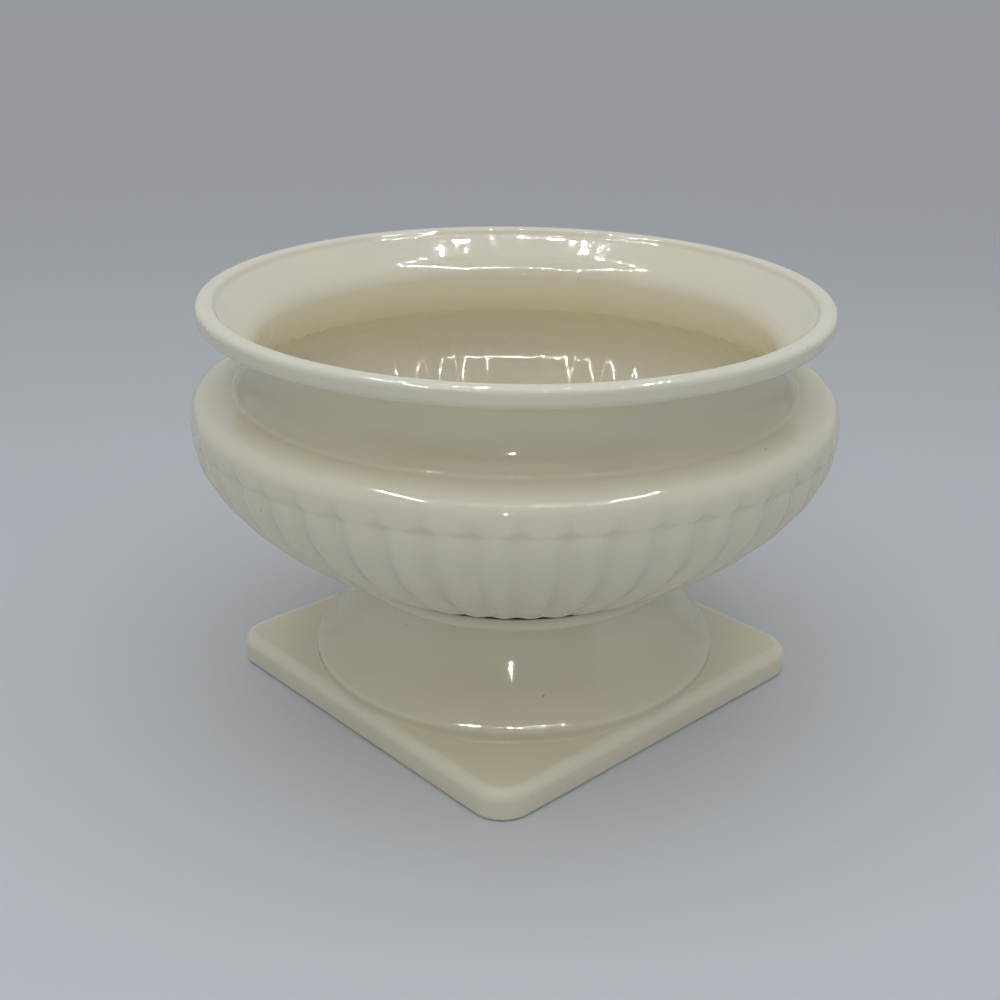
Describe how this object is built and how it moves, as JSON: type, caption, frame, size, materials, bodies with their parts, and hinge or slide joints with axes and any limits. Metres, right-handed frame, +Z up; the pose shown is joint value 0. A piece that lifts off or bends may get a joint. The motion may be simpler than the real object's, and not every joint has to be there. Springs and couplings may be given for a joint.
{
  "type": "jardiniere on stand",
  "caption": "Round glazed jardiniere with a rolled lip and a beaded, gadrooned belly, lifting off a flared hollow foot on a square plinth.",
  "frame": {"origin": "centre of the plinth's underside, on the surface the stand stands on", "axes": "+Z up along the axis of the bowl and foot; +X and +Y square to the plinth's sides"},
  "size_m": [0.2392, 0.239, 0.1543],
  "materials": {
    "stand_glaze": "gloss",
    "bowl_glaze": "gloss"
  },
  "bodies": {
    "stand": {"stand": "stand_glaze"},
    "bowl": {"bowl": "bowl_glaze"}
  },
  "joints": [
    {"name": "bowl_lift", "type": "slide", "parent": "stand", "child": "bowl", "axis": [0, 0, 1], "range_m": [0, 0.08]}
  ]
}
